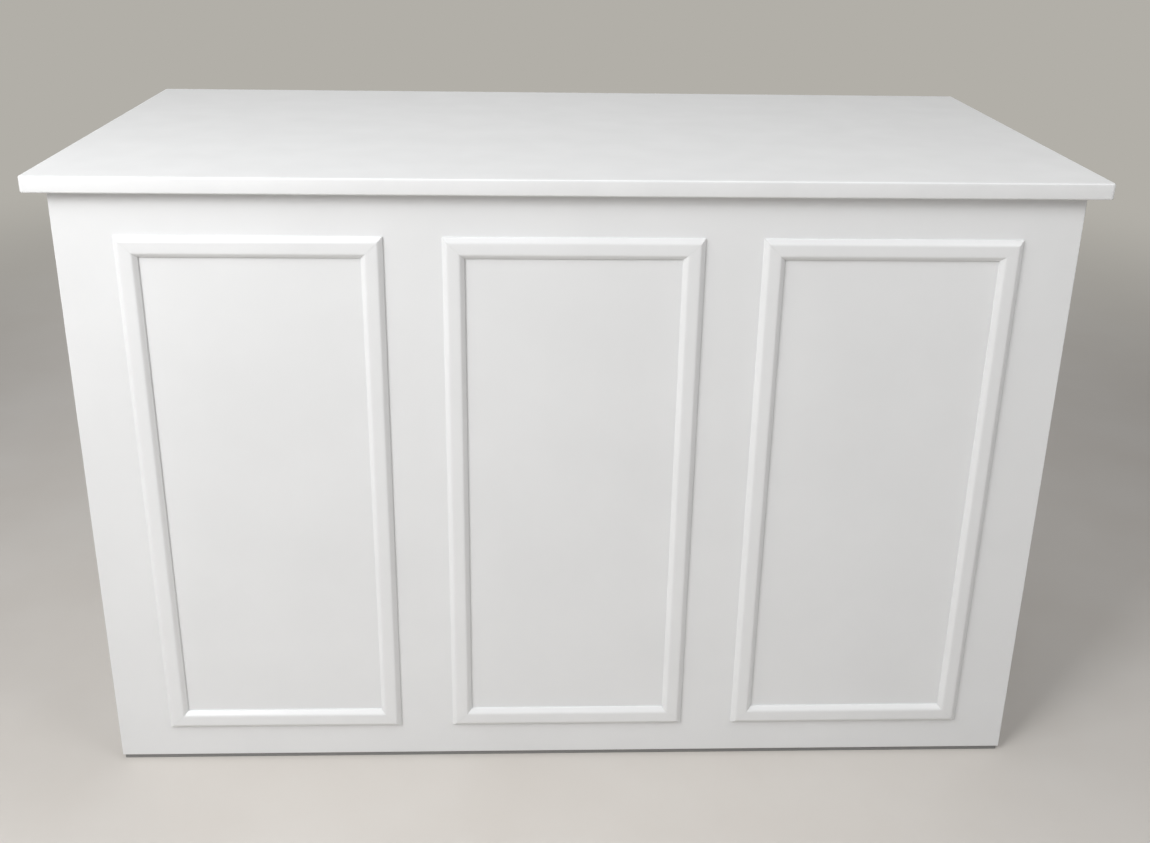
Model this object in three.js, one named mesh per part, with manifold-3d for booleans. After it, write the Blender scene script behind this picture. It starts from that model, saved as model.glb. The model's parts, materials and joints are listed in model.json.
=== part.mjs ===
// A folding portable bar: a panelled front on a shallow shelved carcass, two side wings on
// continuous hinges that fold flat behind the carcass, and a counter top that lifts off.
// Millimetres. +X is to the bar's right seen from the guests' side, +Y points to the service
// side, +Z is up, and the origin is on the floor under the middle of the counter top.

import * as THREE from 'three';
import { mergeVertices } from 'three/addons/utils/BufferGeometryUtils.js';
import Module from 'manifold-3d';

// Driving dimensions of the counter top
const TOP_WIDTH = 1600;
const TOP_DEPTH = 760;
const TOP_THICKNESS = 25;
const TOP_CORNER_RADIUS = 6;
const TOP_EASE = 2.5;
const BAR_HEIGHT = 1040;

// How far the counter top stands out past the body
const SIDE_OVERHANG = 29;
const FRONT_OVERHANG = 25;
const BACK_OVERHANG = 25;

// Boards of the body
const BOARD = 18;
const BOARD_CORNER_RADIUS = 1.6;
const BOARD_EASE = 0.8;
const CARCASS_DEPTH = 220;
const SHELF_SETBACK = 2;
const BOTTOM_LIFT = 60;
const SHELF_HEIGHT = 560;
const STRETCHER_DEPTH = 80;
const CLEAT_WIDTH = 18;
const CLEAT_HEIGHT = 30;
const CLEAT_CLEARANCE = 0.5;

// Battens under the counter top, which drop inside the carcass
const BATTEN_WIDTH = 25;
const BATTEN_HEIGHT = 30;
const BATTEN_CLEARANCE = 2;

// Picture-frame mouldings on the front panel
const FRAME_COUNT = 3;
const FRAME_MARGIN = 89;
const FRAME_TOP_MARGIN = 69;
const FRAME_BOTTOM_MARGIN = 60;
const MOULDING_WIDTH = 32.5;
const MOULDING_PROUD = 9.5;
const MOULDING_STEP = 3;
const MOULDING_BEVEL = 6.5;
const MOULDING_ROUNDING = 2.5;
const MITRE_GAP = 0.1;

// Wings and their continuous hinges
const WING_GAP = 2;
const WING_TOP_GAP = 0.5;
const HINGE_END_MARGIN = 20;
const LEAF_WIDTH = 25;
const LEAF_THICKNESS = 1.5;
const KNUCKLE_RADIUS = 4.5;
const KNUCKLE_PITCH = 50;
const KNUCKLE_GAP = 0.5;
const KNUCKLE_CLEARANCE = 0.3;
const PIN_RADIUS = 2;
const PIN_CLEARANCE = 0.05;
const HINGE_NOTCH_CLEARANCE = 3;

// Magnetic catches that hold the folded wings
const CATCH_REACH = 420;
const CATCH_WIDTH = 16;
const CATCH_HEIGHT = 14;
const CATCH_LENGTH = 60;
const CATCH_GAP = 0.4;
const STRIKE_LENGTH = 40;
const STRIKE_HEIGHT = 18;
const STRIKE_THICKNESS = 1.5;

// Rubber strip under the front panel, and nylon glides of the same height under the other boards
const STRIP_SETBACK = 2;
const STRIP_END_MARGIN = 3;
const GLIDE_RADIUS = 8;
const GLIDE_HEIGHT = 8;
const GLIDE_EASE = 1;
const GLIDE_INSET = 40;

// Facets of the round shapes
const VISIBLE_EDGE_STEPS = 2;
const PLAIN_EDGE_STEPS = 1;
const MOULDING_STEPS = 3;
const KNUCKLE_SIDES = 12;
const GLIDE_SIDES = 14;

// Faces and edges that follow from the driving dimensions
const bodyHalf = TOP_WIDTH / 2 - SIDE_OVERHANG;
const innerHalf = bodyHalf - BOARD;
const bodyBottom = GLIDE_HEIGHT;
const bodyTop = BAR_HEIGHT - TOP_THICKNESS;
const frontFace = -TOP_DEPTH / 2 + FRONT_OVERHANG;
const panelBack = frontFace + BOARD;
const carcassBack = frontFace + CARCASS_DEPTH;
const shelfBack = carcassBack - SHELF_SETBACK;
const bottomUnder = bodyBottom + BOTTOM_LIFT;
const shelfUnder = SHELF_HEIGHT - BOARD;
const stretcherUnder = bodyTop - BOARD;
const stretcherFront = shelfBack - STRETCHER_DEPTH;
const wingFront = carcassBack + WING_GAP;
const wingBack = TOP_DEPTH / 2 - BACK_OVERHANG;
const wingTop = bodyTop - WING_TOP_GAP;

// Hinge axis: in the middle of the gap, just inside the inner faces that the leaves lie on
const axisInset = KNUCKLE_RADIUS + KNUCKLE_CLEARANCE;
const hingeX = innerHalf - axisInset;
const hingeY = carcassBack + WING_GAP / 2;
const hingeBottom = bodyBottom + HINGE_END_MARGIN;
const hingeLength = wingTop - HINGE_END_MARGIN - hingeBottom;

// Room that boards inside the carcass leave for the hinge
const notchInner = innerHalf - axisInset - KNUCKLE_RADIUS - HINGE_NOTCH_CLEARANCE;
const notchFront = hingeY - LEAF_WIDTH - HINGE_NOTCH_CLEARANCE;

const wasm = await Module();
wasm.setup();

const paint = (color, roughness) => new THREE.MeshStandardMaterial({ color, roughness, metalness: 0 });
const steel = (color, roughness) => new THREE.MeshStandardMaterial({ color, roughness, metalness: 1 });
const FINISH = {
  counter: paint(0xf0efec, 0.35),
  front: paint(0xedecea, 0.4),
  moulding: paint(0xf0efed, 0.38),
  inside: paint(0xe6e5e1, 0.5),
  hinge: steel(0xc4c6c8, 0.35),
  pin: steel(0xa9acaf, 0.3),
  strike: steel(0xbfc2c4, 0.4),
  catch: paint(0xd9d9d6, 0.45),
  strip: paint(0x6e6e6d, 0.7),
  glide: paint(0x363635, 0.5),
};

const bar = new THREE.Group();

// The two sides, with the way that points outwards along X
const SIDES = [['left', -1], ['right', 1]];

// A span in X at the right side, or its mirror image at the left side.
function span(outer, a, b) {
  return outer > 0 ? [a, b] : [-b, -a];
}

// Adds a named piece, with its geometry's own origin put at a place.
function add(name, geometry, material, x = 0, y = 0, z = 0, parent = bar) {
  const mesh = new THREE.Mesh(geometry, material);
  mesh.name = name;
  mesh.position.set(x, y, z);
  parent.add(mesh);
  return mesh;
}

// A rectangle with rounded corners, between two opposite corners.
function roundedRectangle(x0, y0, x1, y1, radius) {
  const shape = new THREE.Shape();
  shape.moveTo(x0 + radius, y0);
  shape.lineTo(x1 - radius, y0);
  shape.absarc(x1 - radius, y0 + radius, radius, -Math.PI / 2, 0);
  shape.lineTo(x1, y1 - radius);
  shape.absarc(x1 - radius, y1 - radius, radius, 0, Math.PI / 2);
  shape.lineTo(x0 + radius, y1);
  shape.absarc(x0 + radius, y1 - radius, radius, Math.PI / 2, Math.PI);
  shape.lineTo(x0, y0 + radius);
  shape.absarc(x0 + radius, y0 + radius, radius, Math.PI, 1.5 * Math.PI);
  return shape;
}

// An outline raised to a height, with its upper and lower edges eased. It stands on z = 0.
function easedExtrusion(shape, height, ease, steps) {
  const geometry = new THREE.ExtrudeGeometry(shape, {
    depth: height - 2 * ease,
    bevelThickness: ease,
    bevelSize: ease,
    bevelOffset: -ease,
    bevelSegments: steps,
    curveSegments: steps,
  });
  return geometry.translate(0, 0, ease);
}

// How a board's edges are eased: the upright corners, the upper and lower edges, and the facets.
const PLAIN_EDGES = { radius: BOARD_CORNER_RADIUS, ease: BOARD_EASE, steps: PLAIN_EDGE_STEPS };
const VISIBLE_EDGES = { radius: BOARD_CORNER_RADIUS, ease: BOARD_EASE, steps: VISIBLE_EDGE_STEPS };
const TOP_EDGES = { radius: TOP_CORNER_RADIUS, ease: TOP_EASE, steps: VISIBLE_EDGE_STEPS };

// A board between two opposite corners, with every edge eased.
function addBoard(name, material, low, high, edges = PLAIN_EDGES) {
  const outline = roundedRectangle(low[0], low[1], high[0], high[1], edges.radius);
  const geometry = easedExtrusion(outline, high[2] - low[2], edges.ease, edges.steps);
  return add(name, geometry, material, 0, 0, low[2]);
}

// A straight-sided outline given by its corner points.
function polygon(points) {
  return new THREE.Shape(points.map(([x, y]) => new THREE.Vector2(x, y)));
}

// Section of the moulding: u from its outer to its inner edge, v out of the panel. Both edges
// are a small step and a bevel up to a flat face, with a rounded arris between.
function mouldingSection() {
  const slope = (MOULDING_PROUD - MOULDING_STEP) / MOULDING_BEVEL;
  const run = MOULDING_ROUNDING / Math.hypot(1, slope);
  const shape = new THREE.Shape();
  shape.moveTo(0, 0);
  shape.lineTo(MOULDING_WIDTH, 0);
  shape.lineTo(MOULDING_WIDTH, MOULDING_STEP);
  const innerArris = MOULDING_WIDTH - MOULDING_BEVEL;
  shape.lineTo(innerArris + run, MOULDING_PROUD - run * slope);
  shape.quadraticCurveTo(innerArris, MOULDING_PROUD, innerArris - MOULDING_ROUNDING, MOULDING_PROUD);
  shape.lineTo(MOULDING_BEVEL + MOULDING_ROUNDING, MOULDING_PROUD);
  shape.quadraticCurveTo(MOULDING_BEVEL, MOULDING_PROUD, MOULDING_BEVEL - run, MOULDING_PROUD - run * slope);
  shape.lineTo(0, MOULDING_STEP);
  return shape;
}

// One moulding stick along +X, mitred at both ends. Its outer edge is on z = 0 and centred on
// x = 0, its inner edge is above, and it stands out to -Y from its back on y = 0.
function mouldingStick(length) {
  const geometry = new THREE.ExtrudeGeometry(mouldingSection(), {
    depth: length,
    bevelEnabled: false,
    curveSegments: MOULDING_STEPS,
  });
  const position = geometry.getAttribute('position');
  for (let i = 0; i < position.count; i += 1) {
    const inset = position.getX(i) + MITRE_GAP;
    const atStart = position.getZ(i) < length / 2;
    position.setZ(i, atStart ? inset - length / 2 : length / 2 - inset);
  }
  const inward = new THREE.Vector3(0, 0, 1);
  const proud = new THREE.Vector3(0, -1, 0);
  const along = new THREE.Vector3(1, 0, 0);
  return geometry.applyMatrix4(new THREE.Matrix4().makeBasis(inward, proud, along));
}

// A closed mesh as a solid that can be joined and cut.
function toSolid(geometry) {
  const bare = geometry.index ? geometry.toNonIndexed() : geometry.clone();
  bare.deleteAttribute('normal');
  bare.deleteAttribute('uv');
  const merged = mergeVertices(bare);
  return new wasm.Manifold(
    new wasm.Mesh({
      numProp: 3,
      vertProperties: merged.getAttribute('position').array,
      triVerts: new Uint32Array(merged.index.array),
    }),
  );
}

// A joined or cut solid back as a geometry.
function toGeometry(solid) {
  const mesh = solid.getMesh();
  const geometry = new THREE.BufferGeometry();
  geometry.setAttribute('position', new THREE.BufferAttribute(mesh.vertProperties, 3));
  geometry.setIndex(new THREE.BufferAttribute(mesh.triVerts, 1));
  geometry.computeVertexNormals();
  return geometry;
}

// A box between two opposite corners.
function box(low, high) {
  const size = high.map((value, i) => value - low[i]);
  const centre = high.map((value, i) => (value + low[i]) / 2);
  return new THREE.BoxGeometry(...size).translate(...centre);
}

// An upright cylinder on the hinge axis.
function axisCylinder(radius, bottom, top) {
  const cylinder = new THREE.CylinderGeometry(radius, radius, top - bottom, KNUCKLE_SIDES);
  return cylinder.rotateX(Math.PI / 2).translate(0, 0, (bottom + top) / 2);
}

const knuckleCount = 2 * Math.floor(hingeLength / KNUCKLE_PITCH / 2) + 1;
const knuckleLength = hingeLength / knuckleCount;

// One leaf of a continuous hinge, with its axis on the Z axis and z = 0 at its lower end. The
// leaf lies beside the axis at +X and reaches to -Y; the first knuckle is its own where
// firstKnuckle is 0, and the other leaf's where it is 1.
function hingeLeaf(firstKnuckle) {
  const leafBack = axisInset;
  const leafFace = axisInset - LEAF_THICKNESS;
  const plateEnd = -(KNUCKLE_RADIUS + KNUCKLE_GAP);
  let solid = toSolid(box([leafFace, -LEAF_WIDTH, 0], [leafBack, plateEnd, hingeLength]));
  for (let i = firstKnuckle; i < knuckleCount; i += 2) {
    const bottom = i * knuckleLength + KNUCKLE_GAP / 2;
    const top = (i + 1) * knuckleLength - KNUCKLE_GAP / 2;
    const tongueFace = KNUCKLE_RADIUS - LEAF_THICKNESS;
    const tongue = box([tongueFace, plateEnd - LEAF_THICKNESS, bottom], [leafBack, 0, top]);
    solid = solid.add(toSolid(tongue)).add(toSolid(axisCylinder(KNUCKLE_RADIUS, bottom, top)));
  }
  const boreRadius = (PIN_RADIUS + PIN_CLEARANCE) / Math.cos(Math.PI / KNUCKLE_SIDES);
  const bore = toSolid(axisCylinder(boreRadius, -KNUCKLE_GAP, hingeLength + KNUCKLE_GAP));
  return toGeometry(solid.subtract(bore));
}

// A nylon glide: a low round foot with an eased lower edge, standing on z = 0.
function glide() {
  const profile = [
    new THREE.Vector2(0, 0),
    new THREE.Vector2(GLIDE_RADIUS - GLIDE_EASE, 0),
    new THREE.Vector2(GLIDE_RADIUS, GLIDE_EASE),
    new THREE.Vector2(GLIDE_RADIUS, GLIDE_HEIGHT),
    new THREE.Vector2(0, GLIDE_HEIGHT),
  ];
  return new THREE.LatheGeometry(profile, GLIDE_SIDES).rotateX(Math.PI / 2);
}

// A plan outline across the carcass, notched at its rear corners for the hinges.
function notchedOutline(front) {
  return polygon([
    [-innerHalf, front],
    [innerHalf, front],
    [innerHalf, notchFront],
    [notchInner, notchFront],
    [notchInner, shelfBack],
    [-notchInner, shelfBack],
    [-notchInner, notchFront],
    [-innerHalf, notchFront],
  ]);
}

// An upright board on the bar's middle plane, from its outline in Y and Z.
function addDivider(name, outline) {
  const geometry = new THREE.ExtrudeGeometry(polygon(outline), { depth: BOARD, bevelEnabled: false });
  const across = new THREE.Vector3(0, 1, 0);
  const up = new THREE.Vector3(0, 0, 1);
  const through = new THREE.Vector3(1, 0, 0);
  geometry.translate(0, 0, -BOARD / 2).applyMatrix4(new THREE.Matrix4().makeBasis(across, up, through));
  return add(name, geometry, FINISH.inside);
}

// Counter top with the battens that locate it
function addCounterTop() {
  const low = [-TOP_WIDTH / 2, -TOP_DEPTH / 2, bodyTop];
  const high = [TOP_WIDTH / 2, TOP_DEPTH / 2, BAR_HEIGHT];
  addBoard('counter_top', FINISH.counter, low, high, TOP_EDGES);
  const battenUnder = bodyTop - BATTEN_HEIGHT;
  const outer = innerHalf - BATTEN_CLEARANCE;
  const inner = outer - BATTEN_WIDTH;
  const front = panelBack + BATTEN_CLEARANCE;
  const frontEnd = front + BATTEN_WIDTH;
  const sideFront = frontEnd + BATTEN_CLEARANCE;
  const sideBack = stretcherFront - BATTEN_CLEARANCE;
  addBoard('front_batten', FINISH.inside, [-outer, front, battenUnder], [outer, frontEnd, bodyTop]);
  addBoard('left_batten', FINISH.inside, [-outer, sideFront, battenUnder], [-inner, sideBack, bodyTop]);
  addBoard('right_batten', FINISH.inside, [inner, sideFront, battenUnder], [outer, sideBack, bodyTop]);
}

// Front panel with its three mitred picture frames
function addFront() {
  const low = [-bodyHalf, frontFace, bodyBottom];
  addBoard('front_panel', FINISH.front, low, [bodyHalf, panelBack, bodyTop], VISIBLE_EDGES);
  const frameWidth = (2 * bodyHalf - (FRAME_COUNT + 1) * FRAME_MARGIN) / FRAME_COUNT;
  const frameBottom = bodyBottom + FRAME_BOTTOM_MARGIN;
  const frameTop = bodyTop - FRAME_TOP_MARGIN;
  const frameHeight = frameTop - frameBottom;
  const sides = [
    { side: 'bottom', length: frameWidth, turn: 0, reach: frameHeight / 2 },
    { side: 'right', length: frameHeight, turn: -Math.PI / 2, reach: frameWidth / 2 },
    { side: 'top', length: frameWidth, turn: Math.PI, reach: frameHeight / 2 },
    { side: 'left', length: frameHeight, turn: Math.PI / 2, reach: frameWidth / 2 },
  ];
  ['left', 'centre', 'right'].forEach((place, column) => {
    const frameX = -bodyHalf + FRAME_MARGIN + frameWidth / 2 + column * (frameWidth + FRAME_MARGIN);
    for (const { side, length, turn, reach } of sides) {
      const frame = new THREE.Group();
      frame.position.set(frameX, frontFace, (frameBottom + frameTop) / 2);
      frame.rotation.y = turn;
      bar.add(frame);
      add(`${place}_frame_${side}`, mouldingStick(length), FINISH.moulding, 0, 0, -reach, frame);
    }
  });
}

// Returns, shelves, dividers and cleats behind the front panel
function addCarcass() {
  for (const [place, outer] of SIDES) {
    const [inside, outside] = span(outer, innerHalf, bodyHalf);
    const high = [outside, carcassBack, bodyTop];
    addBoard(`${place}_return`, FINISH.front, [inside, panelBack, bodyBottom], high, VISIBLE_EDGES);
  }
  const flat = { depth: BOARD, bevelEnabled: false };
  const flatBoard = (front) => new THREE.ExtrudeGeometry(notchedOutline(front), flat);
  add('bottom_board', flatBoard(panelBack), FINISH.inside, 0, 0, bottomUnder);
  add('middle_shelf', flatBoard(panelBack), FINISH.inside, 0, 0, shelfUnder);
  add('rear_stretcher', flatBoard(stretcherFront), FINISH.inside, 0, 0, stretcherUnder);

  const bottomTop = bottomUnder + BOARD;
  const cleatBack = panelBack + CLEAT_WIDTH + CLEAT_CLEARANCE;
  const cleatUnder = shelfUnder - CLEAT_HEIGHT - CLEAT_CLEARANCE;
  addDivider('lower_divider', [
    [panelBack, bottomTop],
    [shelfBack, bottomTop],
    [shelfBack, shelfUnder],
    [cleatBack, shelfUnder],
    [cleatBack, cleatUnder],
    [panelBack, cleatUnder],
  ]);
  const battenBack = panelBack + BATTEN_WIDTH + 2 * BATTEN_CLEARANCE;
  const battenUnder = bodyTop - BATTEN_HEIGHT - BATTEN_CLEARANCE;
  addDivider('upper_divider', [
    [panelBack, SHELF_HEIGHT],
    [shelfBack, SHELF_HEIGHT],
    [shelfBack, stretcherUnder],
    [battenBack, stretcherUnder],
    [battenBack, battenUnder],
    [panelBack, battenUnder],
  ]);

  for (const [board, under] of [['bottom', bottomUnder], ['shelf', shelfUnder]]) {
    const low = under - CLEAT_HEIGHT;
    const sideFront = panelBack + CLEAT_WIDTH;
    const side = innerHalf - CLEAT_WIDTH;
    const frontHigh = [innerHalf, sideFront, under];
    addBoard(`${board}_front_cleat`, FINISH.inside, [-innerHalf, panelBack, low], frontHigh);
    addBoard(`${board}_left_cleat`, FINISH.inside, [-innerHalf, sideFront, low], [-side, notchFront, under]);
    addBoard(`${board}_right_cleat`, FINISH.inside, [side, sideFront, low], [innerHalf, notchFront, under]);
  }
}

// Wings with their hinges, catches and strike plates
function addWings() {
  const wingFace = hingeY + axisInset;
  const catchNose = wingFace - STRIKE_THICKNESS - CATCH_GAP;
  const catchUnder = shelfUnder - CATCH_HEIGHT;
  const strikeY = hingeY + CATCH_REACH;
  const strikeUnder = catchUnder + CATCH_HEIGHT / 2 - STRIKE_HEIGHT / 2;
  const catchX = hingeX - CATCH_REACH;
  const pin = () => axisCylinder(PIN_RADIUS, 0, hingeLength);

  for (const [place, outer] of SIDES) {
    const [inside, outside] = span(outer, innerHalf, bodyHalf);
    const high = [outside, wingBack, wingTop];
    addBoard(`${place}_wing_panel`, FINISH.front, [inside, wingFront, bodyBottom], high, VISIBLE_EDGES);

    // The two leaves are half a turn apart about the up or the cross axis, so that both lie on
    // the inner faces, one to the front of the axis and one to the back.
    const first = new THREE.Group();
    first.position.set(outer * hingeX, hingeY, hingeBottom);
    bar.add(first);
    const carcassLeaf = add(`${place}_carcass_leaf`, hingeLeaf(0), FINISH.hinge, 0, 0, 0, first);
    const wingLeaf = add(`${place}_wing_leaf`, hingeLeaf(1), FINISH.hinge, 0, 0, 0, first);
    const turned = outer > 0 ? wingLeaf : carcassLeaf;
    turned.position.z = hingeLength;
    turned.rotation.x = Math.PI;
    if (outer < 0) first.rotation.z = Math.PI;
    add(`${place}_hinge_pin`, pin(), FINISH.pin, 0, 0, 0, first);

    const [catchLow, catchHigh] = span(outer, catchX - CATCH_WIDTH / 2, catchX + CATCH_WIDTH / 2);
    const catchFront = catchNose - CATCH_LENGTH;
    const catchCorner = [catchHigh, catchNose, shelfUnder];
    addBoard(`${place}_catch`, FINISH.catch, [catchLow, catchFront, catchUnder], catchCorner);
    const [strikeLow, strikeHigh] = span(outer, innerHalf - STRIKE_THICKNESS, innerHalf);
    const strike = box(
      [strikeLow, strikeY - STRIKE_LENGTH / 2, strikeUnder],
      [strikeHigh, strikeY + STRIKE_LENGTH / 2, strikeUnder + STRIKE_HEIGHT],
    );
    add(`${place}_strike_plate`, strike, FINISH.strike);
  }
}

// Foot strip under the front panel, and glides under the returns and the wings
function addFeet() {
  const stripHalf = bodyHalf - STRIP_END_MARGIN;
  const stripLow = [-stripHalf, frontFace + STRIP_SETBACK, 0];
  addBoard('panel_foot_strip', FINISH.strip, stripLow, [stripHalf, panelBack - STRIP_SETBACK, bodyBottom]);
  const sideMiddle = bodyHalf - BOARD / 2;
  for (const [place, outer] of SIDES) {
    add(`${place}_return_glide`, glide(), FINISH.glide, outer * sideMiddle, carcassBack - GLIDE_INSET, 0);
    add(`${place}_wing_front_glide`, glide(), FINISH.glide, outer * sideMiddle, wingFront + GLIDE_INSET, 0);
    add(`${place}_wing_back_glide`, glide(), FINISH.glide, outer * sideMiddle, wingBack - GLIDE_INSET, 0);
  }
}

addCounterTop();
addFront();
addCarcass();
addWings();
addFeet();

export default bar;
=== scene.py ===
import json
import math

import bpy
import numpy as np
from mathutils import Matrix, Vector


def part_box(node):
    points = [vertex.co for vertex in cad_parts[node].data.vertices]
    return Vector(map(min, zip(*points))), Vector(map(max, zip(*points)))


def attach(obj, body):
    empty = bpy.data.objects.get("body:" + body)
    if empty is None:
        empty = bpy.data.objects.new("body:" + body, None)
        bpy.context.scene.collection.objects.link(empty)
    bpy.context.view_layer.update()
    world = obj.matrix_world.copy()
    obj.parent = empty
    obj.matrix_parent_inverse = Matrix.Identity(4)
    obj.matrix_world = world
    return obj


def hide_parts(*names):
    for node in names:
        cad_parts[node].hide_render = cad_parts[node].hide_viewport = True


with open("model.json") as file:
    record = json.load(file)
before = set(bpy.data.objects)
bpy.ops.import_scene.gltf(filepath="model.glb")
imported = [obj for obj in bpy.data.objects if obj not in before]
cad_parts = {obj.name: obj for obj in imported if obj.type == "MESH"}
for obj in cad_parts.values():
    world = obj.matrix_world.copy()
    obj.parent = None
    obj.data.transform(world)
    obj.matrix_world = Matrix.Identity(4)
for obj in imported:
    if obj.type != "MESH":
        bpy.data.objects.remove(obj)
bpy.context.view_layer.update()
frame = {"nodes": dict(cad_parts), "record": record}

# The folding portable bar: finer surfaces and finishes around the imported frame, in metres.
MM = 0.001
NODES = frame["nodes"]
RECORD = frame["record"]
FRAMES = ("left", "centre", "right")
# The two sides of the bar, each with the way along X that points out of the bar
SIDES = {"left": -1.0, "right": 1.0}

# Photograph: its width in pixels, and the camera that lines the bar up with it
PHOTO_WIDTH_PX = 1150
FOCAL_PX = 1219.6
OPTICAL_AXIS_ABOVE_MIDDLE_PX = 100
CAMERA_PLACE = (-0.0660, -2.1120, 1.4556)
CAMERA_PAN_DEG = 2.245
CAMERA_TILT_DEG = -20.095
CAMERA_ROLL_DEG = 0.933
SENSOR_MM = 36.0

# Meshes: the angle from which an edge stays sharp, and the decimals that a rotation keeps
SHARP_DEG = 32
TURN_DECIMALS = 6

# Counter top: the rounding of its corners and of its long edges
TOP_CORNER = 6.0 * MM
TOP_ARRIS = 2.8 * MM

# Moulding section: upright step at each edge, run of the bevel, and softness of its arris. The points
# of the arris reach so many softnesses before and past the end of the bevel
STEP = 3.0 * MM
BEVEL = 6.5 * MM
ARRIS_SOFTNESS = 0.9 * MM
ARRIS_BEFORE, ARRIS_PAST = 5, 6
ARRIS_POINTS = 12
MITRE_GAP = 0.1 * MM

# Continuous hinges: curled sheet round a pin, and the points along the curl and the run up to it
LEAF_THICKNESS = 1.5 * MM
LEAF_WIDTH = 25 * MM
PLATE_START = 5.0 * MM
KNUCKLE_RADIUS = 4.5 * MM
KNUCKLE_BORE = 2.1 * MM
KNUCKLE_PITCH = 50 * MM
KNUCKLE_GAP = 0.5 * MM
CURL_DEG = 308
CURL_RUN = 3 * MM
CURL_POINTS = 30
RUN_POINTS = 8

# Screw heads: their size, then their rings and cross recess in shares of the radius and of the rise
SCREW_RADIUS = 3.4 * MM
SCREW_RISE = 0.7 * MM
SCREW_RINGS = (0.14, 0.3, 0.42, 0.56, 0.7, 0.88, 1.0, 1.0)
SCREW_SIDES = 24
SCREW_RIM = 0.35
SCREW_SINK = 0.1
RECESS_DEPTH = 1.1
RECESS_HALF_WIDTH = 0.17
RECESS_SIDE_FADE = 0.08
RECESS_REACH = 0.66
RECESS_END_FADE = 0.1

# Rows of screws: their spacing, or their places in shares of a piece's length, and the seeds for the
# turns of their heads
HINGE_SCREW_PITCH = 100 * MM
HINGE_SCREW_END = 30 * MM
CLEAT_SCREW_PITCH = 240 * MM
CLEAT_SCREW_END = 20 * MM
CATCH_SCREWS_AT = (0.2, 0.65)
STRIKE_SCREWS_AT = (0.18, 0.82)
STRIKE_SCREW_SIZE = 0.7
HINGE_SEEDS = {"carcass": 17, "wing": 15}
CLEAT_SEED = 40
CATCH_SEED = 60
STRIKE_SEED = 70

# Glides and magnets
GLIDE_EASE = 1.5 * MM
MAGNET_RADIUS = 4.5 * MM
MAGNET_DEPTH = 0.5 * MM
MAGNET_SINK = 0.2 * MM
MAGNET_EASE = 0.2 * MM

# Studio: the floor's reach, and where it fades into the air around it
FLOOR_RADIUS = 40.0
FLOOR_SIDES = 96
FADE_START = 1.6
FADE_END = 4.5
PAPER_TONES = ("#D4CFC9", "#D9D5D0")
PAPER_ROUGHNESS = (0.85, 0.95)
AIR_COLOUR = "#B2AFA8"
AIR_LIGHT = 0.15

# Sockets of the colour Mix node, which has several of each name
MIX_FACTOR, MIX_FIRST, MIX_SECOND, MIX_RESULT = 0, 6, 7, 2
# The middle range of the noise, which hardly ever goes past it
NOISE_LOW, NOISE_HIGH = 0.3, 0.7
# Refractive indices: typical ones, but for the paper's, which is low to keep its sheen down
PAINT_IOR = 1.5
PLASTIC_IOR = 1.53
PAPER_IOR = 1.3


def linear(hex_colour):
    """An sRGB hex colour as linear RGBA: the sRGB curve is undone on each channel."""
    channel = np.array([int(hex_colour[i : i + 2], 16) for i in (1, 3, 5)]) / 255
    curve = np.where(channel <= 0.04045, channel / 12.92, ((channel + 0.055) / 1.055) ** 2.4)
    return (*curve.tolist(), 1.0)


def add_node(tree, kind, inputs=None, **settings):
    """Adds one shader node with its settings, and fills its inputs with values or links."""
    node = tree.nodes.new(kind)
    for key, value in settings.items():
        setattr(node, key, value)
    for key, value in (inputs or {}).items():
        if isinstance(value, bpy.types.NodeSocket):
            tree.links.new(value, node.inputs[key])
        else:
            node.inputs[key].default_value = value
    return node


def start_material(name, **constants):
    """A material with its constants on the shader's own sockets, and the Object coordinates."""
    material = bpy.data.materials.new(name)
    material.use_nodes = True
    tree = material.node_tree
    shader = tree.nodes["Principled BSDF"]
    for key, value in constants.items():
        shader.inputs[key].default_value = value
    place = add_node(tree, "ShaderNodeTexCoord").outputs["Object"]
    return material, tree, shader, place


def blobs(tree, place, size_mm, detail=2.0, stretch=(1, 1, 1), turn_deg=0.0):
    """A pattern from 0 to 1 of soft blobs about as large as the given size: noise with its middle
    range spread over the whole scale. An axis with a stretch below 1 draws the blobs out along it."""
    mapped = add_node(
        tree,
        "ShaderNodeMapping",
        {"Vector": place, "Rotation": (0, 0, math.radians(turn_deg)), "Scale": stretch},
    )
    noise = add_node(
        tree,
        "ShaderNodeTexNoise",
        {"Vector": mapped.outputs["Vector"], "Scale": 1 / (size_mm * MM), "Detail": detail},
    )
    spread = add_node(
        tree,
        "ShaderNodeMapRange",
        {"Value": noise.outputs["Fac"], "From Min": NOISE_LOW, "From Max": NOISE_HIGH},
    )
    return spread.outputs["Result"]


def lay_coat(tree, shader, tones, clouds, roughness, sheen, grain, depth_mm, strength):
    """Wires three patterns to a shader: base colour between two tones along the clouds, roughness
    between two values along the sheen, and bump as deep as the given size from the grain."""
    tone = add_node(
        tree,
        "ShaderNodeMix",
        {MIX_FACTOR: clouds, MIX_FIRST: linear(tones[0]), MIX_SECOND: linear(tones[1])},
        data_type="RGBA",
    )
    gloss = add_node(
        tree, "ShaderNodeMapRange", {"Value": sheen, "To Min": roughness[0], "To Max": roughness[1]}
    )
    bump = add_node(
        tree, "ShaderNodeBump", {"Height": grain, "Distance": depth_mm * MM, "Strength": strength}
    )
    tree.links.new(tone.outputs[MIX_RESULT], shader.inputs["Base Color"])
    tree.links.new(gloss.outputs["Result"], shader.inputs["Roughness"])
    tree.links.new(bump.outputs["Normal"], shader.inputs["Normal"])


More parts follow.
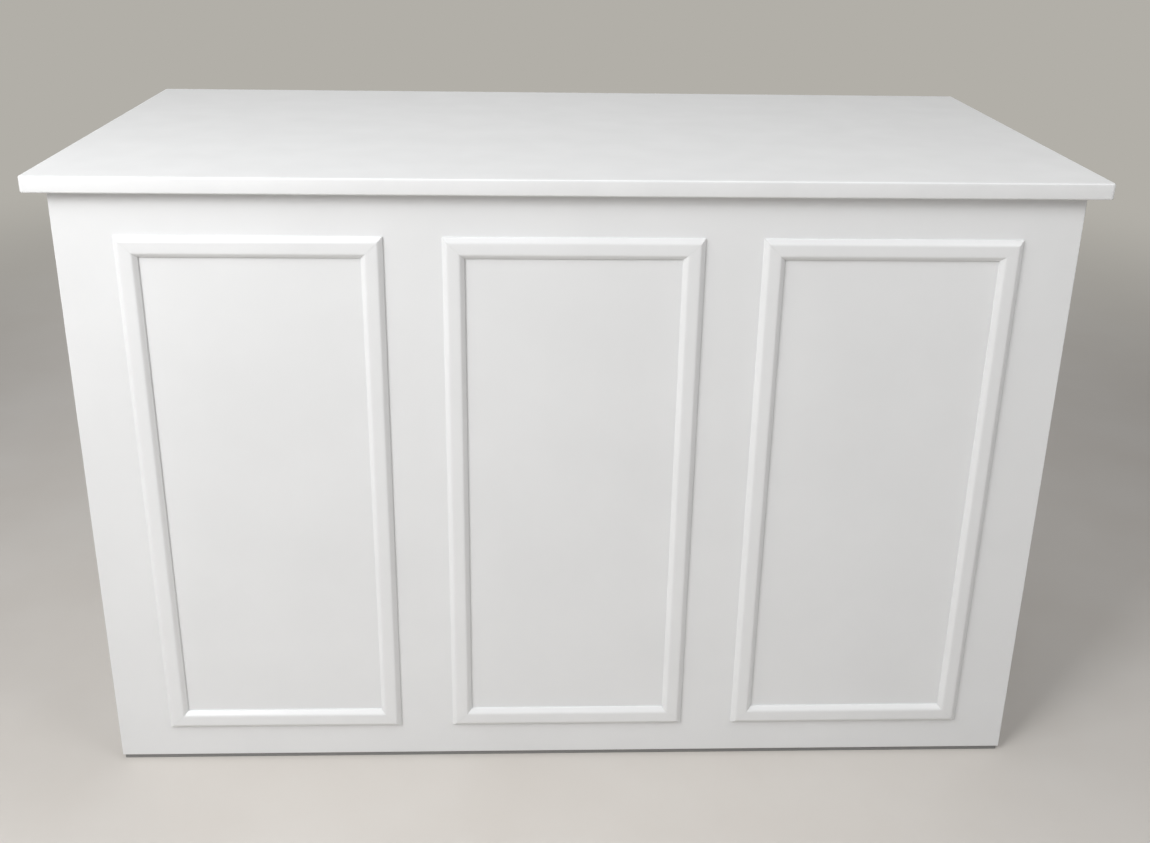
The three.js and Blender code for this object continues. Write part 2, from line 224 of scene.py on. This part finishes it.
def rolled_paint(name, tones, roughness, nap_mm):
    """Satin or matt paint, rolled on primed board: nearly even white with faint clouds of 160 mm where
    the coat is thicker, a patchy soft sheen, and the low pimples of the roller. A roller leaves
    pimples of 1 to 2 mm, drawn here at nap_mm so that they show."""
    material, tree, shader, place = start_material(name, IOR=PAINT_IOR)
    clouds = blobs(tree, place, size_mm=160, detail=3.0)
    sheen = blobs(tree, place, size_mm=45)
    nap = blobs(tree, place, size_mm=nap_mm)
    lay_coat(tree, shader, tones, clouds, roughness, sheen, nap, depth_mm=0.05, strength=0.35)
    return material


def brushed_paint(name, tones, roughness, stretch):
    """Satin paint, brushed along a wooden moulding: even white, a soft sheen, and brush streaks that
    run along the stick. They are 1 mm wide or less, and are drawn at 3 mm so that they show."""
    material, tree, shader, place = start_material(name, IOR=PAINT_IOR)
    clouds = blobs(tree, place, size_mm=160, detail=3.0)
    sheen = blobs(tree, place, size_mm=45)
    streaks = blobs(tree, place, size_mm=3.0, stretch=stretch)
    lay_coat(tree, shader, tones, clouds, roughness, sheen, streaks, depth_mm=0.05, strength=0.35)
    return material


def sprayed_lacquer(name, tones, roughness):
    """White satin lacquer, sprayed on the counter's board and wiped down every day: an even white with
    faint clouds, a satin gloss broken by fine wiping marks, and a trace of orange peel. The wiping
    marks are hair-thin and are drawn 4 mm wide so that they show."""
    material, tree, shader, place = start_material(name, IOR=PAINT_IOR)
    clouds = blobs(tree, place, size_mm=70, detail=4.0)
    wiping = blobs(tree, place, size_mm=4.0, detail=3.0, stretch=(0.04, 1, 1), turn_deg=12)
    peel = blobs(tree, place, size_mm=6.0, detail=1.0)
    lay_coat(tree, shader, tones, clouds, roughness, wiping, peel, depth_mm=0.04, strength=0.2)
    return material


def zinc_plate(name, tones, roughness):
    """Zinc-plated steel, rolled and bright-dipped: cool grey metal with the 9 mm clouds of the plating
    and rolling streaks of 1.2 mm along the height."""
    material, tree, shader, place = start_material(name, Metallic=1.0)
    clouds = blobs(tree, place, size_mm=9.0, detail=3.0)
    streaks = blobs(tree, place, size_mm=1.2, stretch=(1, 1, 0.03))
    lay_coat(tree, shader, tones, clouds, roughness, streaks, streaks, depth_mm=0.01, strength=0.15)
    return material


def moulded_plastic(name, tones, roughness):
    """Injection-moulded plastic or rubber: an even colour, a dull sheen and the spark-eroded grain of
    the mould, drawn at 1 mm instead of 0.1 mm so that it shows."""
    material, tree, shader, place = start_material(name, IOR=PLASTIC_IOR)
    grain = blobs(tree, place, size_mm=1.0)
    lay_coat(tree, shader, tones, grain, roughness, grain, grain, depth_mm=0.05, strength=0.3)
    return material


# Finishes: the two tones, then the range of the roughness
PAINT_FRONT = rolled_paint("white_satin_paint", ("#EBECED", "#EEEFF0"), (0.37, 0.47), nap_mm=5.0)
PAINT_INSIDE = rolled_paint("white_matt_paint", ("#E6E5E2", "#EAE9E6"), (0.55, 0.65), nap_mm=6.0)
MOULDING_TONES = ("#ECEDEE", "#EFF0F1")
MOULDING_GLOSS = (0.33, 0.43)
PAINT_UPRIGHT = brushed_paint(
    "white_brushed_paint_upright", MOULDING_TONES, MOULDING_GLOSS, stretch=(1, 1, 0.06)
)
PAINT_LEVEL = brushed_paint(
    "white_brushed_paint_level", MOULDING_TONES, MOULDING_GLOSS, stretch=(0.06, 1, 1)
)
LACQUER = sprayed_lacquer("white_satin_lacquer", ("#ECEDEE", "#F0F1F2"), (0.34, 0.48))
STEEL_HINGE = zinc_plate("zinc_plated_steel", ("#B9BCBF", "#CDCFD1"), (0.27, 0.42))
STEEL_PIN = zinc_plate("bright_steel_wire", ("#A3A6A9", "#B9BBBE"), (0.21, 0.36))
STEEL_SCREW = zinc_plate("zinc_plated_screw_steel", ("#BDBFC1", "#D2D3D4"), (0.23, 0.38))
PLASTIC_CATCH = moulded_plastic("moulded_grey_plastic", ("#D4D4D0", "#DCDCD9"), (0.45, 0.55))
# The foot strip under the front panel is grey rubber whose tone is set dark so that it stands in for the
# shadow in the gap under the panel: painted shade
SHADE_GREY_RUBBER_STRIP = moulded_plastic("grey_rubber_painted_gap_shade", ("#828281", "#8A8A89"), (0.65, 0.8))
NYLON_GLIDE = moulded_plastic("moulded_dark_nylon", ("#2C2C2B", "#343432"), (0.45, 0.55))

FINISH_OF_SLOT = {
    "counter_lacquer": LACQUER,
    "front_paint": PAINT_FRONT,
    "moulding_paint": PAINT_LEVEL,
    "inside_paint": PAINT_INSIDE,
    "hinge_steel": STEEL_HINGE,
    "pin_steel": STEEL_PIN,
    "strike_steel": STEEL_HINGE,
    "catch_plastic": PLASTIC_CATCH,
    # the foot strip's dark grey is painted shade for the gap under the front panel
    "foot_rubber": SHADE_GREY_RUBBER_STRIP,
    "glide_nylon": NYLON_GLIDE,
}


def make_object(name, points, faces, material):
    """A mesh object at the origin from points and faces in place, smooth but for its sharp edges."""
    mesh = bpy.data.meshes.new(name)
    mesh.from_pydata(np.asarray(points).tolist(), [], [list(map(int, face)) for face in faces])
    mesh.update()
    mesh.polygons.foreach_set("use_smooth", np.ones(len(mesh.polygons), bool))
    mesh.set_sharp_from_angle(angle=math.radians(SHARP_DEG))
    mesh.materials.append(material)
    piece = bpy.data.objects.new(name, mesh)
    bpy.context.scene.collection.objects.link(piece)
    return piece


def add_piece(name, points, faces, material, body, slot, *nodes):
    """A piece that rides on a body, takes the given finish, and stands for CAD nodes if any are given.
    The slot is not used.
    """
    piece = make_object(name, points, faces, material)
    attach(piece, body)
    if nodes:
        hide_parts(*nodes)


def ring_faces(rings, around):
    """Quads between neighbouring rings of points, each ring closed on itself."""
    ring, step = np.meshgrid(np.arange(rings - 1), np.arange(around), indexing="ij")
    here = ring * around + step
    beside = ring * around + (step + 1) % around
    return np.stack([here, beside, beside + around, here + around], axis=-1).reshape(-1, 4)


def capped_rings(rings, around):
    """The quads between rings, and one face over the first and over the last ring."""
    last = (rings - 1) * around
    return [*ring_faces(rings, around), np.arange(around)[::-1], np.arange(around) + last]


def join_shapes(shapes):
    """Several shapes as one list of points and one of faces."""
    starts = np.cumsum([0, *(len(points) for points, _ in shapes)])
    faces = [face + start for (_, shape), start in zip(shapes, starts) for face in shape]
    return np.concatenate([points for points, _ in shapes]), faces


def turned_to(normal):
    """Rotation that carries +Z to a direction, rounded so that level faces stay level."""
    return np.array(Vector(normal).to_track_quat("Z", "Y").to_matrix()).round(TURN_DECIMALS)


def quarter_arc(radius, steps):
    """A quarter circle from its lowest point out to its side: how far in and how far up each point is."""
    turn = np.linspace(0, math.pi / 2, steps + 1)
    return radius * (1 - np.sin(turn)), radius * (1 - np.cos(turn))


def rounded_rectangle(low, high, radius, inset, corner_steps=6):
    """Points round a rectangle with quarter-circle corners, drawn in by an inset: each corner's centre
    stays, and its radius shrinks by the inset."""
    angle = np.linspace(0, math.pi / 2, corner_steps + 1)
    turn = np.concatenate([angle + quarter * math.pi / 2 for quarter in range(4)])
    right = np.repeat([1, 0, 0, 1], corner_steps + 1)
    back = np.repeat([1, 1, 0, 0], corner_steps + 1)
    x = np.where(right, high[0] - radius, low[0] + radius) + (radius - inset) * np.cos(turn)
    y = np.where(back, high[1] - radius, low[1] + radius) + (radius - inset) * np.sin(turn)
    return x, y


def eased_slab(low, high, corner, arris, arris_steps=5, face_ring=0.98):
    """A slab whose section is carried round a rounded rectangle: a quarter circle at the lower edge,
    the upright side, and a quarter circle at the upper edge. The first and last rings lie in the
    faces, nearly a corner's radius in, so that the corners shade cleanly."""
    inset, rise = quarter_arc(arris, arris_steps)
    on_face = [corner * face_ring]
    insets = np.concatenate([on_face, inset, inset[::-1], on_face])
    heights = np.concatenate([[low[2]], low[2] + rise, high[2] - rise[::-1], [high[2]]])
    rings = []
    for ring_inset, height in zip(insets, heights):
        x, y = rounded_rectangle(low, high, corner, ring_inset)
        rings.append(np.stack([x, y, np.full_like(x, height)], axis=-1))
    return np.concatenate(rings), capped_rings(len(rings), len(rings[0]))


def moulding_section(width, proud):
    """Section of the moulding from its outer to its inner edge: a small upright step, then the lower
    of a straight bevel and the flat face. The soft minimum of the two rounds the arris between."""
    arris_start = BEVEL - ARRIS_BEFORE * ARRIS_SOFTNESS
    arris_end = BEVEL + ARRIS_PAST * ARRIS_SOFTNESS
    reach = np.concatenate([[0.0], np.linspace(arris_start, arris_end, ARRIS_POINTS)])
    bevel = STEP + (proud - STEP) / BEVEL * reach
    rise = -ARRIS_SOFTNESS * np.logaddexp(-bevel / ARRIS_SOFTNESS, -proud / ARRIS_SOFTNESS)
    across = np.concatenate([[0.0], reach, width - reach[::-1], [width]])
    out = np.concatenate([[0.0], rise, rise[::-1], [0.0]])
    return across, out


def moulding_stick(start, along, inward, out, length, width, proud):
    """A mitred stick: the section stands at both ends, and each of its points starts as far in along
    the stick as it lies from the outer edge, which cuts the ends at 45 degrees."""
    across, rise = moulding_section(width, proud)
    offset = start + across[:, None] * inward + rise[:, None] * out
    near = offset + (across + MITRE_GAP)[:, None] * along
    far = offset + (length - across - MITRE_GAP)[:, None] * along
    return np.concatenate([far, near]), capped_rings(2, len(across))


def hinge_band(outer, inner, bottom, top):
    """A bent sheet that stands upright: at each place along its section a ring of four points joins
    its outer and inner line at the bottom and at the top."""
    ring = [(*outer.T, bottom), (*inner.T, bottom), (*inner.T, top), (*outer.T, top)]
    corners = [np.stack([u, v, np.full_like(u, height)], axis=-1) for u, v, height in ring]
    return np.stack(corners, axis=1).reshape(-1, 3), capped_rings(len(outer), 4)


def knuckle_lines(plate_back):
    """Outer and inner line of a knuckle's curled sheet, with u towards the board and v along the leaf:
    both leave the plate level, ease over to the circles round the pin, and follow them until just
    short of the plate again."""
    along = np.linspace(PLATE_START, 0.0, RUN_POINTS, endpoint=False)
    turn = np.radians(np.linspace(0, CURL_DEG, CURL_POINTS))
    share = np.clip(along / CURL_RUN, 0, 1)
    ease = share**2 * (3 - 2 * share)
    lines = []
    for radius, level in ((KNUCKLE_RADIUS, plate_back), (KNUCKLE_BORE, plate_back - LEAF_THICKNESS)):
        u = np.concatenate([radius + (level - radius) * ease, radius * np.cos(turn)])
        v = np.concatenate([along, -radius * np.sin(turn)])
        lines.append(np.stack([u, v], axis=-1))
    return lines


def side_x(low, high, way):
    """Where the side of a box that faces a way along X lies."""
    return high[0] if way > 0 else low[0]


def hinge_leaf(axis, outward, away, low, high, first):
    """One leaf of a continuous hinge: a flat plate against the board, and the curled sheet of every
    other knuckle from the first. Outward and away give the signs of u along X and v along Y, and
    where the two are alike the faces are turned round, so that they point outwards."""
    plate_back = side_x(low, high, outward) * outward - axis[0] * outward
    ends = np.array([LEAF_WIDTH, PLATE_START])
    outer = np.stack([np.full(2, plate_back), ends], axis=-1)
    bands = [hinge_band(outer, outer - (LEAF_THICKNESS, 0.0), low[2], high[2])]
    count = 2 * int((high[2] - low[2]) / KNUCKLE_PITCH / 2) + 1
    edges = np.linspace(low[2], high[2], count + 1)
    for i in range(first, count, 2):
        bottom = edges[i] + (KNUCKLE_GAP / 2 if i > 0 else 0.0)
        top = edges[i + 1] - (KNUCKLE_GAP / 2 if i < count - 1 else 0.0)
        bands.append(hinge_band(*knuckle_lines(plate_back), bottom, top))
    points, faces = join_shapes(bands)
    points = points * (outward, away, 1.0) + (axis[0], axis[1], 0.0)
    if outward * away > 0:
        faces = [face[::-1] for face in faces]
    return points, faces


def screw_heads(places, normal, seed, size=1.0):
    """Domed screw heads with a cross recess. Height over a disc is a shallow dome, less a cross whose
    arms fade out at their sides and ends. The last ring turns down into the surface that the head
    sits on, and each head is turned about its axis by chance."""
    angles = np.arange(SCREW_SIDES) / SCREW_SIDES * 2 * math.pi
    r, a = np.meshgrid(SCREW_RINGS, angles, indexing="ij")
    x, y = r * np.cos(a), r * np.sin(a)
    arm = np.clip((RECESS_HALF_WIDTH - np.minimum(abs(x), abs(y))) / RECESS_SIDE_FADE, 0, 1)
    arm *= np.clip((RECESS_REACH - np.maximum(abs(x), abs(y))) / RECESS_END_FADE, 0, 1)
    height = SCREW_RIM + (1 - SCREW_RIM) * (1 - r**2) - RECESS_DEPTH * arm
    height[-1] = -SCREW_SINK
    rings = np.stack([x * SCREW_RADIUS, y * SCREW_RADIUS, height * SCREW_RISE], axis=-1)
    middle = [[0.0, 0.0, (1 - RECESS_DEPTH) * SCREW_RISE]]
    head = np.concatenate([rings.reshape(-1, 3), middle]) * size
    fan = np.arange(SCREW_SIDES)
    cap = np.stack([np.full(SCREW_SIDES, len(head) - 1), fan, (fan + 1) % SCREW_SIDES], axis=-1)
    quads = ring_faces(len(SCREW_RINGS), SCREW_SIDES)[:, ::-1]
    base = fan[::-1] + (len(SCREW_RINGS) - 1) * SCREW_SIDES
    faces = [*cap, *quads, base]
    turns = np.random.default_rng(seed).uniform(0, math.pi, len(places))
    heads = []
    for place, turn in zip(places, turns):
        turned = turned_to(normal) @ np.array(Matrix.Rotation(turn, 3, "Z"))
        heads.append((head @ turned.T + np.array(place), faces))
    return join_shapes(heads)


def round_plug(centre, normal, radius, depth, ease, around=32, ease_steps=4):
    """A low round plug: its section is carried round its axis, with a quarter circle at the outer edge
    and a ring half way in on the end face, so that the edge shades cleanly."""
    inset, rise = quarter_arc(ease, ease_steps)
    radii = np.concatenate([[radius], radius - inset[::-1], [radius / 2]])
    heights = np.concatenate([[0.0], depth - rise[::-1], [depth]])
    angle = np.arange(around) / around * 2 * math.pi
    rings = np.stack(
        [
            np.outer(radii, np.cos(angle)),
            np.outer(radii, np.sin(angle)),
            np.repeat(heights[:, None], around, axis=1),
        ],
        axis=-1,
    )
    points = rings.reshape(-1, 3) @ turned_to(normal).T + np.array(centre)
    return points, capped_rings(len(radii), around)


def spaced(low, high, pitch, margin):
    """Evenly spaced places between two ends, a margin in from each, about a pitch apart."""
    count = max(2, round((high - low - 2 * margin) / pitch) + 1)
    return np.linspace(low + margin, high - margin, count)


def finish_frame():
    """Every CAD node gets the finish of its material slot."""
    for part in RECORD["subparts"]:
        materials = NODES[part["node"]].data.materials
        materials.clear()
        materials.append(FINISH_OF_SLOT[part["material_slot"]])


def make_counter_top():
    """The slab with its rounded arrises, in the place of the counter's solid."""
    points, faces = eased_slab(*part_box("counter_top"), TOP_CORNER, TOP_ARRIS)
    add_piece("counter_slab", points, faces, LACQUER, "counter", "counter_lacquer", "counter_top")


def make_mouldings():
    """The mitred sticks with their softer section, each in the place of its solid."""
    right, out, up = np.array([1.0, 0.0, 0.0]), np.array([0.0, -1.0, 0.0]), np.array([0.0, 0.0, 1.0])
    for place in FRAMES:
        left_low, left_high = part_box(f"{place}_frame_left")
        _, right_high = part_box(f"{place}_frame_right")
        low = np.array([left_low[0], left_high[1], left_low[2] - MITRE_GAP])
        high = np.array([right_high[0], left_high[1], left_high[2] + MITRE_GAP])
        width = left_high[0] - left_low[0]
        proud = left_high[1] - left_low[1]
        wide, _, tall = high - low
        lower_right = np.array([high[0], low[1], low[2]])
        upper_left = np.array([low[0], low[1], high[2]])
        sticks = {
            "bottom": (low, right, up, wide, PAINT_LEVEL),
            "top": (high, -right, -up, wide, PAINT_LEVEL),
            "left": (upper_left, -up, right, tall, PAINT_UPRIGHT),
            "right": (lower_right, up, -right, tall, PAINT_UPRIGHT),
        }
        for side, (start, along, inward, length, material) in sticks.items():
            points, faces = moulding_stick(start, along, inward, out, length, width, proud)
            node = f"{place}_frame_{side}"
            name = f"{place}_moulding_{side}"
            add_piece(name, points, faces, material, "carcass", "moulding_paint", node)


def make_hinges():
    """The hinge leaves of curled sheet, each in the place of its solid, with a row of screws on the
    face that looks into the bar."""
    axis_of = {joint["child"]: joint.get("pos_m") for joint in RECORD["behaviour"]["joints"]}
    for number, (side, outward) in enumerate(SIDES.items()):
        wing = f"{side}_wing"
        axis = axis_of[wing]
        leaves = (("carcass", "carcass", -1), ("wing", wing, 1))
        for first, (leaf, body, away) in enumerate(leaves):
            node = f"{side}_{leaf}_leaf"
            low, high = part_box(node)
            points, faces = hinge_leaf(axis, outward, away, low, high, first)
            add_piece(f"{node}_sheet", points, faces, STEEL_HINGE, body, "hinge_steel", node)
            face_x = side_x(low, high, outward) - outward * LEAF_THICKNESS
            screw_y = axis[1] + away * (LEAF_WIDTH + PLATE_START) / 2
            heights = spaced(low[2], high[2], HINGE_SCREW_PITCH, HINGE_SCREW_END)
            places = [(face_x, screw_y, height) for height in heights]
            points, faces = screw_heads(places, (-outward, 0, 0), HINGE_SEEDS[leaf] + number)
            add_piece(f"{node}_screws", points, faces, STEEL_SCREW, body, "hinge_steel")


def make_cleat_screws():
    """Screws up through each cleat into the board that it carries, and up through the counter's
    battens into the slab."""
    edges = ("front", "left", "right")
    body_of = {f"{board}_{edge}_cleat": "carcass" for board in ("bottom", "shelf") for edge in edges}
    body_of.update({f"{edge}_batten": "counter" for edge in edges})
    for number, (node, body) in enumerate(body_of.items()):
        low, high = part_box(node)
        long_axis = 0 if high[0] - low[0] > high[1] - low[1] else 1
        run = spaced(low[long_axis], high[long_axis], CLEAT_SCREW_PITCH, CLEAT_SCREW_END)
        places = np.repeat([(low + high) / 2], len(run), axis=0)
        places[:, long_axis] = run
        places[:, 2] = low[2]
        points, faces = screw_heads(places, (0, 0, -1), CLEAT_SEED + number)
        add_piece(f"{node}_screws", points, faces, STEEL_SCREW, body, "hinge_steel")


def make_catches():
    """The magnet in each catch's nose, and the screws of the catches and of the strike plates."""
    for number, (side, outward) in enumerate(SIDES.items()):
        low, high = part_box(f"{side}_catch")
        middle = (low + high) / 2
        nose = (middle[0], high[1] - MAGNET_SINK, middle[2])
        points, faces = round_plug(nose, (0, 1, 0), MAGNET_RADIUS, MAGNET_DEPTH, MAGNET_EASE)
        add_piece(f"{side}_catch_magnet", points, faces, STEEL_PIN, "carcass", "pin_steel")
        run = low[1] + np.array(CATCH_SCREWS_AT) * (high[1] - low[1])
        places = [(middle[0], y, low[2]) for y in run]
        points, faces = screw_heads(places, (0, 0, -1), CATCH_SEED + number)
        add_piece(f"{side}_catch_screws", points, faces, STEEL_SCREW, "carcass", "hinge_steel")
        low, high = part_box(f"{side}_strike_plate")
        middle = (low + high) / 2
        run = low[1] + np.array(STRIKE_SCREWS_AT) * (high[1] - low[1])
        places = [(side_x(low, high, -outward), y, middle[2]) for y in run]
        seed = STRIKE_SEED + number
        points, faces = screw_heads(places, (-outward, 0, 0), seed, STRIKE_SCREW_SIZE)
        add_piece(f"{side}_strike_screws", points, faces, STEEL_SCREW, f"{side}_wing", "strike_steel")


def make_glides():
    """Smooth round glides with an eased foot, each in the place of its solid."""
    body_of = {node: body for body, nodes in RECORD["behaviour"]["bodies"].items() for node in nodes}
    for node in (name for name in body_of if name.endswith("_glide")):
        low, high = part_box(node)
        middle = (low + high) / 2
        top = (middle[0], middle[1], high[2])
        radius = (high[0] - low[0]) / 2
        points, faces = round_plug(top, (0, 0, -1), radius, high[2] - low[2], GLIDE_EASE)
        add_piece(f"{node}_foot", points, faces, NYLON_GLIDE, body_of[node], "glide_nylon", node)


def seen_rays(tree):
    """1 for rays from the camera, mirrors or clear pieces, 0 for the rays that only carry light."""
    path = add_node(tree, "ShaderNodeLightPath")
    mirrored = add_node(
        tree,
        "ShaderNodeMath",
        {0: path.outputs["Is Glossy Ray"], 1: path.outputs["Is Transmission Ray"]},
        operation="MAXIMUM",
    )
    either = add_node(
        tree,
        "ShaderNodeMath",
        {0: path.outputs["Is Camera Ray"], 1: mirrored.outputs["Value"]},
        operation="MAXIMUM",
    )
    return either.outputs["Value"]


def make_floor():
    """A wide floor of pale warm grey paper. Far from the bar it is seen as the colour of the air, so
    that no edge shows; near the bar it keeps its own colour and the shadow."""
    turn = np.arange(FLOOR_SIDES) / FLOOR_SIDES * 2 * math.pi
    rim = np.stack([np.cos(turn), np.sin(turn), np.zeros_like(turn)], axis=-1) * FLOOR_RADIUS
    material, tree, shader, place = start_material("pale_paper", IOR=PAPER_IOR)
    clouds = blobs(tree, place, size_mm=350, detail=4.0)
    fibres = blobs(tree, place, size_mm=4.0)
    lay_coat(
        tree, shader, PAPER_TONES, clouds, PAPER_ROUGHNESS, clouds, fibres, depth_mm=0.05, strength=0.3
    )
    distance = add_node(tree, "ShaderNodeVectorMath", {0: place}, operation="LENGTH")
    fade = add_node(
        tree,
        "ShaderNodeMapRange",
        {"Value": distance.outputs["Value"], "From Min": FADE_START, "From Max": FADE_END},
        interpolation_type="SMOOTHSTEP",
    )
    seen = add_node(
        tree, "ShaderNodeMath", {0: fade.outputs["Result"], 1: seen_rays(tree)}, operation="MULTIPLY"
    )
    air = add_node(tree, "ShaderNodeEmission", {"Color": linear(AIR_COLOUR), "Strength": 1.0})
    mixed = add_node(
        tree,
        "ShaderNodeMixShader",
        {0: seen.outputs["Value"], 1: shader.outputs["BSDF"], 2: air.outputs["Emission"]},
    )
    tree.links.new(mixed.outputs["Shader"], tree.nodes["Material Output"].inputs["Surface"])
    make_object("studio_floor", rim, [np.arange(len(turn))], material)


def make_air():
    """The air round the bar: seen as an even pale grey, while a faint white light comes from it."""
    world = bpy.data.worlds.new("studio_air")
    world.use_nodes = True
    tree = world.node_tree
    lit = add_node(tree, "ShaderNodeBackground", {"Color": linear("#FFFFFF"), "Strength": AIR_LIGHT})
    shown = add_node(tree, "ShaderNodeBackground", {"Color": linear(AIR_COLOUR), "Strength": 1.0})
    mixed = add_node(
        tree,
        "ShaderNodeMixShader",
        {0: seen_rays(tree), 1: lit.outputs["Background"], 2: shown.outputs["Background"]},
    )
    tree.links.new(mixed.outputs["Shader"], tree.nodes["World Output"].inputs["Surface"])
    bpy.context.scene.world = world


def area_light(name, place, target, size, watts):
    """A soft white lamp that looks at a target."""
    lamp = bpy.data.lights.new(name, "AREA")
    lamp.shape = "RECTANGLE"
    lamp.size, lamp.size_y = size
    lamp.energy = watts
    holder = bpy.data.objects.new(name, lamp)
    holder.location = place
    aim = Vector(target) - Vector(place)
    holder.rotation_euler = aim.to_track_quat("-Z", "Y").to_euler()
    bpy.context.scene.collection.objects.link(holder)


def make_lights():
    """A soft key at the front left and a nearer one beside it, a broad lamp over the counter, one on
    the floor at the front right, and one for the service side, lower than the counter so that it
    doesn't mirror in it."""
    area_light("key", place=(-1.7, -2.3, 2.3), target=(0.0, -0.3, 0.55), size=(1.0, 1.0), watts=50)
    area_light("near_key", place=(-1.5, -1.2, 2.2), target=(-0.6, -0.4, 1.0), size=(0.8, 0.8), watts=12)
    area_light("overhead", place=(0.0, 0.3, 3.2), target=(0.0, 0.0, 0.6), size=(2.5, 2.5), watts=21)
    area_light("front_right", place=(1.6, -1.7, 2.4), target=(1.2, -1.3, 0.0), size=(1.2, 1.2), watts=20)
    area_light("service_side", place=(0.0, 3.0, 0.6), target=(0.0, 0.35, 0.55), size=(2.0, 0.7), watts=27)


def make_camera():
    """The photograph's camera: pan, tilt and roll turn it, and a small shift sets its optical axis
    above the middle of the frame."""
    pan, tilt, roll = (math.radians(a) for a in (CAMERA_PAN_DEG, CAMERA_TILT_DEG, CAMERA_ROLL_DEG))
    forward = Vector((math.sin(pan) * math.cos(tilt), math.cos(pan) * math.cos(tilt), math.sin(tilt)))
    level = Vector((math.cos(pan), -math.sin(pan), 0.0))
    upright = level.cross(forward)
    right = level * math.cos(roll) + upright * math.sin(roll)
    up = right.cross(forward)
    data = bpy.data.cameras.new("photo_camera")
    data.sensor_width = SENSOR_MM
    data.lens = FOCAL_PX / PHOTO_WIDTH_PX * SENSOR_MM
    data.shift_y = -OPTICAL_AXIS_ABOVE_MIDDLE_PX / PHOTO_WIDTH_PX
    camera = bpy.data.objects.new("photo_camera", data)
    turn = Matrix((right, up, -forward)).transposed().to_4x4()
    camera.matrix_world = Matrix.Translation(CAMERA_PLACE) @ turn
    bpy.context.scene.collection.objects.link(camera)
    bpy.context.scene.camera = camera


make_camera()
make_lights()
make_air()
make_floor()
finish_frame()
make_counter_top()
make_mouldings()
make_hinges()
make_cleat_screws()
make_catches()
make_glides()

bpy.context.scene.view_settings.view_transform = "Standard"
